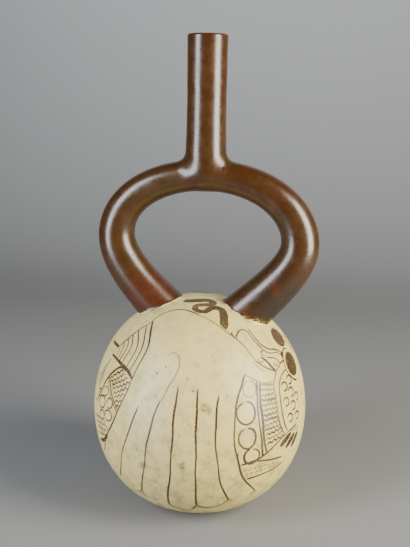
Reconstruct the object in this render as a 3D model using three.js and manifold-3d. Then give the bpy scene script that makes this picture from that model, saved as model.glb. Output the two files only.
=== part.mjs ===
// Stirrup spout vessel: a hollow, near-spherical bottle that stands on a flattened base.
// A stirrup-shaped tube rises from two feet on its shoulder and carries one straight spout.
// Millimetres, +Z up. The origin is the centre of the base; the stirrup lies in the XZ plane.
import * as THREE from "three";
import * as BufferGeometryUtils from "three/addons/utils/BufferGeometryUtils.js";
import Module from "manifold-3d";

// ---- driving dimensions, mm and degrees ----
const GLOBE_RADIUS = 66;            // at the equator
const GLOBE_CENTRE_Z = 61.4;
// how far the globe leaves a true sphere, in powers of the sine of the angle above its equator
const GLOBE_SWELL = [1, -0.018, 0.119, 0.039, -0.096];
const BASE_ANGLE = -64;             // where the curved wall meets the rounded edge of the base
const BASE_FLAT_RADIUS = 27.5;
const GLOBE_WALL = 5;
const FLOOR_THICKNESS = 6;

// centreline of the stirrup, [x, z]: two feet, the widest point of each leg and the crown
const LEFT_FOOT = [-12.8, 110.6];
const LEFT_FOOT_ANGLE = 49.5;       // above the horizontal, leaning out to -X
const LEFT_WIDEST = [-51.5, 166.4];
const CROWN = [3.4, 203.8];
const RIGHT_WIDEST = [60.1, 164.8];
const RIGHT_FOOT = [22.7, 114.7];
const RIGHT_FOOT_ANGLE = 51;
// lengths of the curve handles at those points, before and after, going from left to right
const LEFT_FOOT_HANDLE = 20.6, LEFT_HANDLES = [19.9, 23.3], CROWN_HANDLES = [28.3, 36.3];
const RIGHT_HANDLES = [18.8, 18.3], RIGHT_FOOT_HANDLE = 17.2;
const TUBE_CROWN_RADIUS = 9.4;      // outside of the tube at its thinnest, under the spout
const TUBE_FOOT_RADIUS = 15.2;      // outside of the tube at its ends
const TUBE_TAPER_POWER = 1.8;
const TUBE_WALL = 3.8;

// spout: leans a degree towards +X
const SPOUT_FOOT = [3.6, 203.8];    // where its axis meets the stirrup's centreline
const SPOUT_LEAN = 1;
const SPOUT_LENGTH = 79.9;
const SPOUT_FOOT_RADIUS = 12.2, SPOUT_WAIST_RADIUS = 11.5, SPOUT_RIM_RADIUS = 11.7;
const SPOUT_WALL = 3.6;
const RIM_ROUNDING = 1.5;
const COLLAR_RADIUS = 14.3, COLLAR_DEPTH_RATIO = 0.7;   // the clay smoothed into the seam on the crown

// how finely the round forms are divided
const GLOBE_SIDES = 60, GLOBE_ROWS = 27, HOLLOW_SIDES = 36, HOLLOW_ROWS = 16;
const TUBE_SIDES = 20, TUBE_ROWS = 54, BORE_SIDES = 14, BORE_ROWS = 40;
const SPOUT_SIDES = 32, SPOUT_BORE_SIDES = 24;

const radians = (degrees) => (degrees * Math.PI) / 180;
const wasm = await Module();
wasm.setup();

function solidOf(geometry) {
  const plain = geometry.clone();
  plain.deleteAttribute("normal");
  plain.deleteAttribute("uv");
  const welded = BufferGeometryUtils.mergeVertices(plain, 1e-4);
  return new wasm.Manifold(new wasm.Mesh({
    numProp: 3,
    vertProperties: new Float32Array(welded.attributes.position.array),
    triVerts: new Uint32Array(welded.index.array),
  }));
}

// a closed profile of [radius, z], turned about the Z axis
function turned(profile, sides) {
  const lathe = new THREE.LatheGeometry(profile.map(([r, z]) => new THREE.Vector2(r, z)), sides);
  lathe.rotateX(Math.PI / 2);       // the lathe's axis is Y
  return lathe;
}

// radius and height of the globe's wall at an angle above the equator, drawn in by a wall
function globeProfilePoint(angle, inset) {
  const s = Math.sin(radians(angle));
  const swell = GLOBE_SWELL.reduce((sum, factor, power) => sum + factor * s ** power, 0);
  const reach = GLOBE_RADIUS * swell - inset;
  return [reach * Math.cos(radians(angle)), GLOBE_CENTRE_Z + reach * s];
}

function globe() {
  const profile = [[0, 0], [BASE_FLAT_RADIUS, 0]];
  for (let row = 0; row < GLOBE_ROWS; row += 1) {
    profile.push(globeProfilePoint(BASE_ANGLE + ((90 - BASE_ANGLE) * row) / GLOBE_ROWS, 0));
  }
  profile.push([0, globeProfilePoint(90, 0)[1]]);
  return solidOf(turned(profile, GLOBE_SIDES));
}

function hollow() {
  const profile = [[0, FLOOR_THICKNESS]];
  for (let row = 0; row < HOLLOW_ROWS; row += 1) {
    const [r, z] = globeProfilePoint(BASE_ANGLE + ((90 - BASE_ANGLE) * row) / HOLLOW_ROWS, GLOBE_WALL);
    profile.push([r, Math.max(z, FLOOR_THICKNESS)]);
  }
  profile.push([0, globeProfilePoint(90, GLOBE_WALL)[1]]);
  return solidOf(turned(profile, HOLLOW_SIDES));
}

function centreline() {
  const at = ([x, z], dx = 0, dz = 0) => new THREE.Vector3(x + dx, 0, z + dz);
  const lean = (angle, length) => [length * Math.cos(radians(angle)), length * Math.sin(radians(angle))];
  const [leftX, leftZ] = lean(LEFT_FOOT_ANGLE, LEFT_FOOT_HANDLE);
  const [rightX, rightZ] = lean(RIGHT_FOOT_ANGLE, RIGHT_FOOT_HANDLE);
  const path = new THREE.CurvePath();
  path.add(new THREE.CubicBezierCurve3(
    at(LEFT_FOOT), at(LEFT_FOOT, -leftX, leftZ), at(LEFT_WIDEST, 0, -LEFT_HANDLES[0]), at(LEFT_WIDEST)));
  path.add(new THREE.CubicBezierCurve3(
    at(LEFT_WIDEST), at(LEFT_WIDEST, 0, LEFT_HANDLES[1]), at(CROWN, -CROWN_HANDLES[0]), at(CROWN)));
  path.add(new THREE.CubicBezierCurve3(
    at(CROWN), at(CROWN, CROWN_HANDLES[1]), at(RIGHT_WIDEST, 0, RIGHT_HANDLES[0]), at(RIGHT_WIDEST)));
  path.add(new THREE.CubicBezierCurve3(
    at(RIGHT_WIDEST), at(RIGHT_WIDEST, 0, -RIGHT_HANDLES[1]), at(RIGHT_FOOT, rightX, rightZ), at(RIGHT_FOOT)));
  return path;
}

// a round bar along a path in the XZ plane, bent from a straight one;
// radiusAt takes the fraction of the path's length
function bar(path, radiusAt, rows, sides) {
  const across = new THREE.Vector3(0, 1, 0);
  const straight = new THREE.CylinderGeometry(1, 1, 1, sides, rows);
  const corners = straight.attributes.position;
  const corner = new THREE.Vector3();
  for (let index = 0; index < corners.count; index += 1) {
    corner.fromBufferAttribute(corners, index);
    const u = THREE.MathUtils.clamp(corner.y + 0.5, 0, 1);
    const sideways = new THREE.Vector3().crossVectors(path.getTangentAt(u), across);
    const point = path.getPointAt(u)
      .addScaledVector(sideways, corner.x * radiusAt(u))
      .addScaledVector(across, corner.z * radiusAt(u));
    corners.setXYZ(index, point.x, point.y, point.z);
  }
  return solidOf(straight);
}

const tubeRadius = (u) => TUBE_CROWN_RADIUS
  + (TUBE_FOOT_RADIUS - TUBE_CROWN_RADIUS) * Math.abs(2 * u - 1) ** TUBE_TAPER_POWER;

// a turned form that stands on the spout's axis, squeezed front to back if asked
function onSpoutAxis(profile, sides, depthRatio = 1) {
  const form = turned(profile, sides);
  form.scale(1, depthRatio, 1);
  form.rotateY(radians(SPOUT_LEAN));
  form.translate(SPOUT_FOOT[0], 0, SPOUT_FOOT[1]);
  return solidOf(form);
}

function spout() {
  const rim = SPOUT_LENGTH;
  const wall = onSpoutAxis([
    [0, -6.5], [6.5, -6.5], [9.6, -3.5], [11.4, 0.5], [SPOUT_FOOT_RADIUS, 5], [SPOUT_FOOT_RADIUS, 12],
    [SPOUT_WAIST_RADIUS + 0.2, 24], [SPOUT_WAIST_RADIUS, 44], [SPOUT_RIM_RADIUS - 0.1, 64],
    [SPOUT_RIM_RADIUS, rim - RIM_ROUNDING], [SPOUT_RIM_RADIUS - 0.45, rim - 0.45],
    [SPOUT_RIM_RADIUS - RIM_ROUNDING, rim], [0, rim],
  ], SPOUT_SIDES);
  const collar = onSpoutAxis([
    [0, 3], [COLLAR_RADIUS, 3], [COLLAR_RADIUS, 8.2], [COLLAR_RADIUS - 1.3, 10.2],
    [COLLAR_RADIUS - 2.1, 13], [0, 13],
  ], SPOUT_SIDES, COLLAR_DEPTH_RATIO);
  return wall.add(collar);
}

function spoutBore() {
  const bore = SPOUT_RIM_RADIUS - SPOUT_WALL;
  return onSpoutAxis([
    [0, -1.5], [bore - 2.4, -1.5], [bore - 0.4, 5], [bore, 14], [bore, SPOUT_LENGTH - RIM_ROUNDING],
    [bore + RIM_ROUNDING, SPOUT_LENGTH + 0.5], [bore + RIM_ROUNDING, SPOUT_LENGTH + 2], [0, SPOUT_LENGTH + 2],
  ], SPOUT_BORE_SIDES);
}

const path = centreline();
const outside = globe()
  .add(bar(path, tubeRadius, TUBE_ROWS, TUBE_SIDES))
  .add(spout());
const inside = hollow()
  .add(bar(path, (u) => tubeRadius(u) - TUBE_WALL, BORE_ROWS, BORE_SIDES))
  .add(spoutBore());
const vesselSolid = outside.subtract(inside);

const mesh = vesselSolid.getMesh();
const geometry = new THREE.BufferGeometry();
geometry.setAttribute("position", new THREE.Float32BufferAttribute(mesh.vertProperties, 3));
geometry.setIndex(new THREE.Uint32BufferAttribute(mesh.triVerts, 1));
geometry.computeVertexNormals();

const vessel = new THREE.Mesh(geometry, new THREE.MeshStandardMaterial({
  name: "slip_painted_clay", color: 0xcfc29f, roughness: 0.45, metalness: 0,
}));
vessel.name = "vessel";

const part = new THREE.Group();
part.name = "stirrup_spout_vessel";
part.add(vessel);
export default part;
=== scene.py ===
"""A painted stirrup spout vessel: one hollow body of fired clay with a cream slip and dark line painting
on its round chamber, and a burnished red-brown slip on the stirrup and spout.

Metres, +Z up, in the frame's own place. The painter's strokes are laid out in millimetres on a sheet that
is wrapped round the chamber, and become faces of the chamber's own surface, level with the slip.
"""

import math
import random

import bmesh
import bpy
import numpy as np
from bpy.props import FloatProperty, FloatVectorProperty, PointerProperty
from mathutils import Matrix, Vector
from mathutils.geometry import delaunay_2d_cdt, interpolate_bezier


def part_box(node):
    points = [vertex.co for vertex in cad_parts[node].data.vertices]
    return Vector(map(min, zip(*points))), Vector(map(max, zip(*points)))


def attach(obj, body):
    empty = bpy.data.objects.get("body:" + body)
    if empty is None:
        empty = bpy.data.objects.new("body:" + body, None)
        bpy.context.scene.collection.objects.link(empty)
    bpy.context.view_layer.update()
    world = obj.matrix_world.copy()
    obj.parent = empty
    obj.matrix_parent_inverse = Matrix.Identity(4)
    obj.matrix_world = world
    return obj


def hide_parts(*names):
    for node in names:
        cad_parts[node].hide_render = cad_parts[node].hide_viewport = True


bl_info = {
    "name": "Stirrup Spout Vessel",
    "version": (1, 0, 0),
    "blender": (4, 5, 0),
    "location": "3D View > Sidebar > Vessel",
    "description": "Builds a slip-painted stirrup spout vessel and a plain studio round it",
    "category": "Add Mesh",
}

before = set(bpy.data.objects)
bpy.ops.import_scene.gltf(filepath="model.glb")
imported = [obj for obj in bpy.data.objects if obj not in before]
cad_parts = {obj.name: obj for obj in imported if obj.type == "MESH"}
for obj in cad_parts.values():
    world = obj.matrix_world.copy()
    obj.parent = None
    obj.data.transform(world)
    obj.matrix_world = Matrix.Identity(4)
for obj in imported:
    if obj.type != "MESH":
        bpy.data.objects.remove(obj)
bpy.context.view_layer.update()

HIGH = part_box("vessel")[1]
MM = 0.001

# ---- the chamber: a sphere that swells and flattens with the sine of the latitude ----
GLOBE_CENTRE = np.array([0.0, 0.0, 61.4]) * MM
GLOBE_SWELL = (1, -0.018, 0.119, 0.039, -0.096)
BASE_LATITUDE = math.radians(-64)

# ---- the stirrup's centreline: feet, widest points and crown, with the curve's handles ----
LEFT_FOOT, LEFT_FOOT_HANDLE, LEFT_FOOT_ANGLE = Vector((-12.8, 0, 110.6)), 20.6, 49.5
LEFT_WIDEST, LEFT_HANDLES = Vector((-51.5, 0, 166.4)), (19.9, 23.3)
CROWN, CROWN_HANDLES = Vector((3.4, 0, 203.8)), (28.3, 36.3)
RIGHT_WIDEST, RIGHT_HANDLES = Vector((60.1, 0, 164.8)), (18.8, 18.3)
RIGHT_FOOT, RIGHT_FOOT_HANDLE, RIGHT_FOOT_ANGLE = Vector((22.7, 0, 114.7)), 17.2, 51
TUBE_TAPER_POWER = 1.8

# ---- the spout's axis ----
SPOUT_ROOT = Vector((3.6, 0, 203.8)) * MM
SPOUT_LEAN = math.radians(1)
SPOUT_LENGTH = 79.9 * MM
SPOUT_HEEL, SPOUT_SHOULDER = 6.5 * MM, 5 * MM     # its round heel ends below the root, and begins above it

# ---- how finely things are made ----
TUBE_ROWS, TUBE_SIDES = 220, 64
BORE_ROWS, BORE_SIDES = 160, 40
SPOUT_SIDES, SPOUT_BORE_SIDES, HOLLOW_SIDES = 80, 64, 72
STIRRUP_LOWEST = 95 * MM                          # nothing of the stirrup shows below this height
SEAM_REACH = 3 * MM                               # how far from both surfaces a seam's faces are made fine
SEAM_EDGE = 0.95 * MM                             # the longest edge left along a seam

# ---- the camera and the backdrop ----
CAMERA_PLACE = Vector((89.1, -463.7, 256.5)) * MM
CAMERA_TILT, CAMERA_TURN = math.radians(13.39), math.radians(10.49)
CAMERA_LENS = 52.65
BACKDROP_START, BACKDROP_RADIUS, BACKDROP_TOP = 0.55, 0.6, 2.2


def length(name, description, millimetres):
    return FloatProperty(name=name, description=description, default=millimetres * MM, unit="LENGTH")


def colour(name, description, red, green, blue):
    return FloatVectorProperty(name=name, description=description, default=(red, green, blue, 1),
                               size=4, min=0, max=1, subtype="COLOR")


class VesselForm(bpy.types.PropertyGroup):
    globe_radius: FloatProperty(name="Chamber radius", description="Radius at the equator",
                                default=HIGH.y / 1.0002, unit="LENGTH")
    base_radius: length("Base radius", "Radius of the flat that it stands on", 27.5)
    wall: length("Chamber wall", "Thickness of the chamber's wall", 5)
    floor: length("Floor", "Thickness of the clay under the hollow", 6)
    tube_crown_radius: length("Tube radius at the crown", "Outside radius under the spout", 9.4)
    tube_foot_radius: length("Tube radius at the feet", "Outside radius at the tube's ends", 15.2)
    tube_wall: length("Tube wall", "Thickness of the stirrup's wall", 3.8)
    spout_root_radius: length("Spout root radius", "Outside radius where it leaves the stirrup", 12.2)
    spout_waist_radius: length("Spout waist radius", "Outside radius at its middle", 11.5)
    spout_rim_radius: length("Spout rim radius", "Outside radius at the mouth", 11.7)
    spout_wall: length("Spout wall", "Thickness of the spout's wall", 3.6)
    rim_rounding: length("Rim rounding", "Radius of the lip's edge", 1.5)
    spout_seam: length("Spout seam", "Reach of the clay smoothed between spout and stirrup", 6)
    foot_seam: length("Foot seam", "Reach of the clay smoothed between stirrup and chamber", 1.6)
    unevenness: length("Unevenness", "Depth of the hand-made waviness", 0.09)


class VesselSlip(bpy.types.PropertyGroup):
    cream: colour("Cream slip", "Ground of the painting", 0.62, 0.525, 0.225)
    warm_cream: colour("Warm cream", "Yellower clouds of the ground", 0.56, 0.44, 0.11)
    # This colour is real stain and wear, and also painted shade on the chamber's lower part
    stain_and_shade: colour("Stain", "Brown-grey dirt and wear of the ground", 0.165, 0.128, 0.05)
    soot: colour("Soot", "Fire-clouds, pits and rubbed patches", 0.022, 0.017, 0.011)
    ink: colour("Line paint", "Dark brown of the lines", 0.020, 0.0065, 0.002)
    ink_thin: colour("Thin line paint", "The lines where the paint ran thin", 0.045, 0.015, 0.004)
    red_brown: colour("Red-brown slip", "Burnished slip of the stirrup and spout", 0.040, 0.0125, 0.0025)
    red_brown_light: colour("Light red-brown", "Blotches of the burnished slip", 0.060, 0.022, 0.004)
    olive_brown: colour("Olive brown", "Greener clouds of the burnished slip", 0.034, 0.017, 0.0025)
    red_patch: colour("Red patch", "Redder fired patches", 0.060, 0.0145, 0.004)
    raw_clay: colour("Raw clay", "Unslipped inside", 0.32, 0.17, 0.09)
    line_width: length("Line width", "Width of an ordinary painted line", 1.1)


class VesselStage(bpy.types.PropertyGroup):
    floor: colour("Floor", "Plain grey floor and backdrop", 0.19, 0.193, 0.20)
    left_power: FloatProperty(name="Left light", description="Cool soft light", default=12.5, unit="POWER")
    right_power: FloatProperty(name="Right light", description="Warm soft light", default=23.0, unit="POWER")
    backdrop_power: FloatProperty(name="Backdrop light", description="Light on the backdrop", default=24.0,
                                  unit="POWER")


def form():
    return bpy.context.scene.vessel_form


# ---------------------------------------------------------------- the vessel's surfaces

def globe_reach(sine):
    """Distance from the chamber's centre to its surface, by the sine of the latitude."""
    return form().globe_radius * sum(factor * sine ** power for power, factor in enumerate(GLOBE_SWELL))


def globe_points(longitude, latitude, inset=0.0):
    """Points of the chamber's surface. Longitude 0 faces -Y and grows towards +X."""
    reach = globe_reach(np.sin(latitude)) - inset
    flat = reach * np.cos(latitude)
    return np.stack([flat * np.sin(longitude), -flat * np.cos(longitude),
                     GLOBE_CENTRE[2] + reach * np.sin(latitude)], axis=-1)


def globe_distance(points):
    offset = points - GLOBE_CENTRE
    away = np.linalg.norm(offset, axis=-1)
    return away - globe_reach(offset[:, 2] / np.maximum(away, 1e-9))


class Centreline:
    """The stirrup's centreline, sampled evenly from the left foot to the right one."""

    def __init__(self, samples=240):
        def lean(angle, reach, side):
            return Vector((side * math.cos(math.radians(angle)), 0, math.sin(math.radians(angle)))) * reach
        spans = (
            (LEFT_FOOT, LEFT_FOOT + lean(LEFT_FOOT_ANGLE, LEFT_FOOT_HANDLE, -1),
             LEFT_WIDEST - Vector((0, 0, LEFT_HANDLES[0])), LEFT_WIDEST),
            (LEFT_WIDEST, LEFT_WIDEST + Vector((0, 0, LEFT_HANDLES[1])),
             CROWN - Vector((CROWN_HANDLES[0], 0, 0)), CROWN),
            (CROWN, CROWN + Vector((CROWN_HANDLES[1], 0, 0)),
             RIGHT_WIDEST + Vector((0, 0, RIGHT_HANDLES[0])), RIGHT_WIDEST),
            (RIGHT_WIDEST, RIGHT_WIDEST - Vector((0, 0, RIGHT_HANDLES[1])),
             RIGHT_FOOT + lean(RIGHT_FOOT_ANGLE, RIGHT_FOOT_HANDLE, 1), RIGHT_FOOT),
        )
        fine = [point * MM for span in spans for point in interpolate_bezier(*span, 120)[:-1]]
        fine = np.array(fine + [RIGHT_FOOT * MM])
        run = np.concatenate([[0], np.cumsum(np.linalg.norm(np.diff(fine, axis=0), axis=1))])
        self.fraction = np.linspace(0, 1, samples + 1)
        self.length = run[-1]
        self.points = np.stack(
            [np.interp(self.fraction * run[-1], run, fine[:, axis]) for axis in range(3)], -1)
        self.tangents = np.gradient(self.points, axis=0)
        self.tangents /= np.linalg.norm(self.tangents, axis=1, keepdims=True)

    def at(self, fraction):
        """Points and tangents at fractions of the length."""
        sample = [np.interp(fraction, self.fraction, column)
                  for column in (*self.points.T, *self.tangents.T)]
        return np.stack(sample[:3], -1), np.stack(sample[3:], -1)

    def nearest(self, points):
        """Distance to the centreline, and the fraction of its length there."""
        last = len(self.points) - 1
        near = np.empty(len(points), int)
        for first in range(0, len(points), 4000):
            part = points[first:first + 4000]
            gaps = (part[:, :1] - self.points[:, 0]) ** 2 + (part[:, 2:] - self.points[:, 2]) ** 2
            near[first:first + 4000] = gaps.argmin(1)
        distance, fraction = np.full(len(points), np.inf), np.zeros(len(points))
        for start in (np.maximum(near - 1, 0), np.minimum(near, last - 1)):
            step = self.points[start + 1] - self.points[start]
            offset = points - self.points[start]
            along = np.clip((offset * step).sum(1) / (step ** 2).sum(1), 0, 1)
            gap = np.linalg.norm(offset - along[:, None] * step, axis=1)
            fraction = np.where(gap < distance, (start + along) / last, fraction)
            distance = np.minimum(gap, distance)
        return distance, fraction


def tube_radius(fraction, wall=0.0):
    sizes = form()
    spread = sizes.tube_foot_radius - sizes.tube_crown_radius
    return sizes.tube_crown_radius + spread * np.abs(2 * fraction - 1) ** TUBE_TAPER_POWER - wall


def spout_radius(height):
    """Outside radius of the spout by height above its root."""
    sizes = form()
    heights = np.array([5, 12, 24, 44, 64, 80]) * MM
    root, waist, rim = sizes.spout_root_radius, sizes.spout_waist_radius, sizes.spout_rim_radius
    return np.interp(height, heights, [root, root, waist + 0.2 * MM, waist, rim - 0.1 * MM, rim])


def to_spout(points):
    """Points in the spout's own upright frame."""
    turn = np.array(Matrix.Rotation(-SPOUT_LEAN, 3, "Y"))
    return (points - np.array(SPOUT_ROOT)) @ turn.T


def spout_distance(points):
    local = to_spout(points)
    across, height = np.hypot(local[:, 0], local[:, 1]), local[:, 2]
    side = across - spout_radius(height)
    heel_depth = SPOUT_HEEL + SPOUT_SHOULDER
    below = (SPOUT_SHOULDER - height) / heel_depth
    heel = (np.hypot(across / form().spout_root_radius, below) - 1) * heel_depth
    return np.where(height > SPOUT_SHOULDER, side, heel)


def slope_of(distance, points, step=0.02 * MM):
    """The gradient of a distance field."""
    return np.stack([(distance(points + axis) - distance(points - axis)) / (2 * step)
                     for axis in np.eye(3) * step], -1)


def smooth_union(first, second, reach):
    """Joins two (distance, gradient) pairs, with the crease between them filled."""
    gap = first[0] - second[0]
    blend = np.maximum(reach - np.abs(gap), 0) / reach
    share = np.where(gap < 0, 1 - blend / 2, blend / 2)
    distance = np.minimum(first[0], second[0]) - blend ** 2 * reach / 4
    return distance, share[:, None] * first[1] + (1 - share)[:, None] * second[1]


WAVES = ((0.9, 0.3, 0.4, 47, 0.3), (-0.5, 0.8, 0.3, 39, 1.9), (0.2, -0.6, 0.8, 28, 4.0),
         (0.7, 0.5, -0.6, 23, 2.6), (-0.3, 0.2, 0.95, 17, 5.1))     # direction, wavelength in mm, phase


def waviness(points):
    """How far the surface lies inside its true form: never outwards, and nothing at base and rim."""
    total = sum(np.sin(points @ np.array((x, y, z)) * math.tau / (wave * MM) + phase)
                for x, y, z, wave, phase in WAVES)
    fade = np.clip(points[:, 2] / (10 * MM), 0, 1) * np.clip((HIGH.z - points[:, 2]) / (9 * MM), 0, 1)
    return form().unevenness * (1 - total / len(WAVES)) * fade


class Skin:
    """The whole outside as a distance field, with the clay smoothed along its seams."""

    def __init__(self, centreline):
        self.centreline = centreline

    def tube(self, points):
        distance, fraction = self.centreline.nearest(points)
        middle, tangent = self.centreline.at(fraction)
        step = 1e-4
        widening = ((tube_radius(fraction + step) - tube_radius(fraction - step))
                    / (2 * step * self.centreline.length))
        away = (points - middle) / np.maximum(distance, 1e-9)[:, None]
        return distance - tube_radius(fraction), away - widening[:, None] * tangent

    def stirrup(self, points):
        """Distance from the stirrup and spout, and its gradient."""
        spout = spout_distance(points), slope_of(spout_distance, points)
        return smooth_union(self.tube(points), spout, form().spout_seam)

    def measure(self, points):
        """Distance from the whole skin, and its gradient."""
        distance, slope = globe_distance(points), slope_of(globe_distance, points)
        high = points[:, 2] > STIRRUP_LOWEST
        distance[high], slope[high] = smooth_union((distance[high], slope[high]), self.stirrup(points[high]),
                                                   form().foot_seam)
        return distance + waviness(points), slope + slope_of(waviness, points)

    def settle(self, points, rounds=3):
        """Moves points onto the skin."""
        for _ in range(rounds):
            distance, slope = self.measure(points)
            points = points - slope * (distance / np.maximum((slope ** 2).sum(1), 0.2))[:, None]
        return points


# ---------------------------------------------------------------- solids made with bmesh operators

def finish_mesh(bm, name, part):
    """A mesh object from a bmesh, with every face marked as one part of the vessel."""
    layer = bm.faces.layers.int.get("part") or bm.faces.layers.int.new("part")
    for face in bm.faces:
        face[layer] = part
    mesh = bpy.data.meshes.new(name)
    bm.to_mesh(mesh)
    bm.free()
    made = bpy.data.objects.new(name, mesh)
    bpy.context.scene.collection.objects.link(made)
    return made


GLOBE_PART, STIRRUP_PART, INSIDE_PART = range(3)


def spun(profile, sides):
    """A closed profile of (radius, height) spun about the Z axis."""
    bm = bmesh.new()
    corners = [bm.verts.new((radius, 0, height)) for radius, height in profile]
    edges = [bm.edges.new(pair) for pair in zip(corners, corners[1:])]
    bmesh.ops.spin(bm, geom=corners + edges, cent=(0, 0, 0), axis=(0, 0, 1), angle=math.tau,
                   steps=sides, use_merge=True)
    bmesh.ops.remove_doubles(bm, verts=bm.verts, dist=1e-3 * MM)
    bm.normal_update()
    bmesh.ops.recalc_face_normals(bm, faces=bm.faces)
    return bm


def bar(centreline, rows, sides, wall=0.0):
    """A straight round bar bent along the stirrup's centreline."""
    bm = bmesh.new()
    bmesh.ops.create_cone(bm, cap_ends=True, segments=sides, radius1=1, radius2=1, depth=1)
    lengthways = [edge for edge in bm.edges if abs(edge.verts[0].co.z - edge.verts[1].co.z) > 0.5]
    bmesh.ops.subdivide_edges(bm, edges=lengthways, cuts=rows - 1)
    straight = np.array([vert.co for vert in bm.verts])
    fraction = np.clip(straight[:, 2] + 0.5, 0, 1)
    centre, tangent = centreline.at(fraction)
    across = np.array([0.0, 1.0, 0.0])
    radius = tube_radius(fraction, wall)[:, None]
    bent = centre + radius * (straight[:, :1] * np.cross(across, tangent) + straight[:, 1:2] * across)
    for vert, place in zip(bm.verts, bent):
        vert.co = place
    bm.normal_update()
    return bm


def stand_on_root(bm):
    bmesh.ops.rotate(bm, verts=bm.verts, cent=(0, 0, 0), matrix=Matrix.Rotation(SPOUT_LEAN, 3, "Y"))
    bmesh.ops.translate(bm, verts=bm.verts, vec=SPOUT_ROOT)
    return bm


def spout_solid():
    sizes = form()
    heel_depth = SPOUT_HEEL + SPOUT_SHOULDER
    heel = [(sizes.spout_root_radius * math.sin(turn), SPOUT_SHOULDER - heel_depth * math.cos(turn))
            for turn in np.linspace(0, math.pi / 2, 12)[:-1]]
    wall_top = SPOUT_LENGTH - sizes.rim_rounding
    wall = [(float(spout_radius(height)), height) for height in np.linspace(SPOUT_SHOULDER, wall_top, 60)]
    centre = sizes.spout_rim_radius - sizes.rim_rounding
    lip = [(centre + sizes.rim_rounding * math.cos(turn), wall_top + sizes.rim_rounding * math.sin(turn))
           for turn in np.linspace(0, math.pi / 2, 6)[1:]]
    return stand_on_root(spun(heel + wall + lip + [(0, SPOUT_LENGTH)], SPOUT_SIDES))


def spout_bore():
    """The hollow of the spout, flared by the round of its lip."""
    sizes = form()
    bore = sizes.spout_rim_radius - sizes.spout_wall
    rounding = sizes.rim_rounding
    throat = [(0, -1.5 * MM), (bore - 2.4 * MM, -1.5 * MM), (bore - 0.4 * MM, 5 * MM), (bore, 14 * MM)]
    lip = [(bore + rounding * (1 - math.cos(turn)), SPOUT_LENGTH - rounding * (1 - math.sin(turn)))
           for turn in np.linspace(0, math.pi / 2, 6)]
    above = SPOUT_LENGTH + 2 * MM
    return stand_on_root(spun(throat + lip + [(bore + rounding, above), (0, above)], SPOUT_BORE_SIDES))


def hollow():
    sizes = form()
    latitudes = np.linspace(BASE_LATITUDE, math.pi / 2, 50)[:-1]
    reach = globe_reach(np.sin(latitudes)) - sizes.wall
    heights = GLOBE_CENTRE[2] + reach * np.sin(latitudes)
    wall = [(radius, max(height, sizes.floor)) for radius, height in zip(reach * np.cos(latitudes), heights)]
    top = GLOBE_CENTRE[2] + float(globe_reach(1.0)) - sizes.wall
    return spun([(0, sizes.floor)] + wall + [(0, top)], HOLLOW_SIDES)


# ---------------------------------------------------------------- the painter's sheet

class Sheet:
    """A flat map of the chamber that keeps angles: its centre is the top and its rim the base's edge.

    Strokes are laid out on charts, in millimetres to the right of and above a chart's middle, which
    touches the chamber at a longitude and latitude. Each becomes a row of small patches of the sheet."""

    def __init__(self, skin):
        self.skin = skin
        latitude = np.linspace(math.pi / 2 - 1e-3, BASE_LATITUDE, 4000)
        reach = globe_reach(np.sin(latitude))
        flat, height = reach * np.cos(latitude), reach * np.sin(latitude)
        steps = np.hypot(np.diff(flat), np.diff(height)) / ((flat[1:] + flat[:-1]) / 2)
        self.latitude = latitude[::-1]
        self.spread = (math.log(flat[0]) + np.concatenate([[0], np.cumsum(steps)]))[::-1]
        self.corners, self.patches, self.strengths = [], [], []

    def place(self, directions):
        """Flat places of unit directions from the chamber's centre."""
        latitude = np.arcsin(np.clip(directions[:, 2], -1, 1))
        spread = np.exp(np.interp(latitude, self.latitude, self.spread))
        across = np.maximum(np.hypot(directions[:, 0], directions[:, 1]), 1e-12)
        return directions[:, :2] * (spread / across)[:, None]

    def lift(self, flat):
        """Points of the chamber's surface over flat places."""
        spread = np.log(np.maximum(np.hypot(flat[:, 0], flat[:, 1]), 1e-9))
        latitude = np.interp(spread, self.spread[::-1], self.latitude[::-1])
        latitude = np.where(np.hypot(flat[:, 0], flat[:, 1]) < 1e-7, math.pi / 2, latitude)
        return globe_points(np.arctan2(flat[:, 0], -flat[:, 1]), latitude)

    def add(self, corners, patches, strengths):
        """Keeps patches, each turned so that its corners run anticlockwise."""
        first = len(self.corners)
        self.corners.extend(corners)
        for patch, strength in zip(patches, strengths):
            x, y = np.array([corners[index] for index in patch]).T
            if (x * np.roll(y, -1) - y * np.roll(x, -1)).sum() < 0:
                patch = patch[::-1]
            self.patches.append([first + index for index in patch])
            self.strengths.append(strength)

    def ground(self):
        """Evenly spread corners of the bare slip, closer together round the stirrup's feet."""
        corners = [(0.0, 0.0)]
        def ring(latitude, spacing):
            spread = math.exp(np.interp(latitude, self.latitude, self.spread))
            radius = float(globe_reach(math.sin(latitude))) * math.cos(latitude)
            count = max(6, round(math.tau * radius / spacing))
            turns = (np.arange(count) + 0.5 * (round(latitude * 1e4) % 2)) * math.tau / count
            return spread * np.stack([np.sin(turns), np.cos(turns)], -1)
        radius = form().globe_radius
        for latitude in np.arange(math.pi / 2 - GROUND_SPACING / radius,
                                  BASE_LATITUDE + 0.6 * GROUND_SPACING / radius, -GROUND_SPACING / radius):
            corners.extend(ring(latitude, GROUND_SPACING))
        rim = ring(BASE_LATITUDE, GROUND_SPACING)
        fine = np.concatenate([ring(latitude, SEAM_SPACING) for latitude in
                               np.arange(math.radians(86), math.radians(48), -SEAM_SPACING / radius)])
        near = np.abs(self.skin.stirrup(self.lift(fine))[0]) < SEAM_REACH
        corners.extend(fine[near])
        return corners, rim


GROUND_SPACING = 2.3 * MM
SEAM_SPACING = 0.7 * MM
STROKE_STEP = 1.1


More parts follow.
